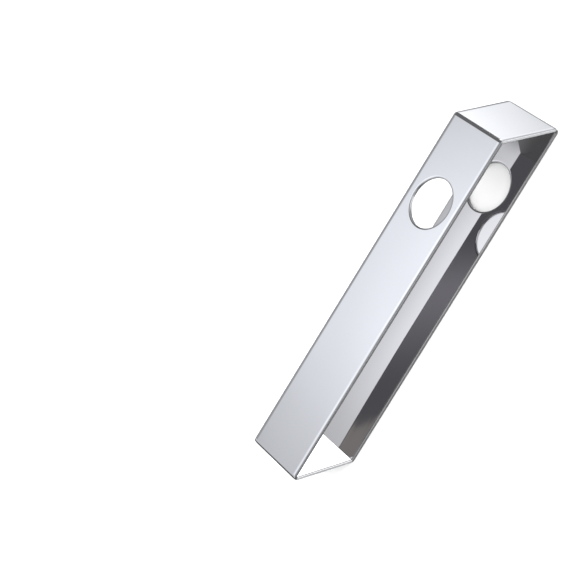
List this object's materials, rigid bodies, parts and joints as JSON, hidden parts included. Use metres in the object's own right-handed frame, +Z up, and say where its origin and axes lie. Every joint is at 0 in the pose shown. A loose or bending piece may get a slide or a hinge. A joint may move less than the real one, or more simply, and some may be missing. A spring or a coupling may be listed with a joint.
{
  "type": "wine bottle holder",
  "caption": "Polished steel strip folded into a narrow leaning parallelogram loop, with a round hole in each long wall that holds a wine bottle's neck level.",
  "frame": {"origin": "centre of the loop's bounding box, on the plane of the rear wall's outer face, which the empty holder rests on", "axes": "+Z up from the rear wall's outer face as the empty holder lies, +X along the long walls from the foot plate towards the top plate, Y across the strip. With a bottle in it the holder stands on its foot plate instead, and up is then the row's (0.839, 0, 0.545)"},
  "size_m": [0.2842, 0.05, 0.0419],
  "materials": {
    "polished_steel": "stainless steel polished to a mirror, with dark rounded edges and folds"
  },
  "bodies": {
    "root": {"folded_band": "polished_steel"}
  },
  "joints": []
}
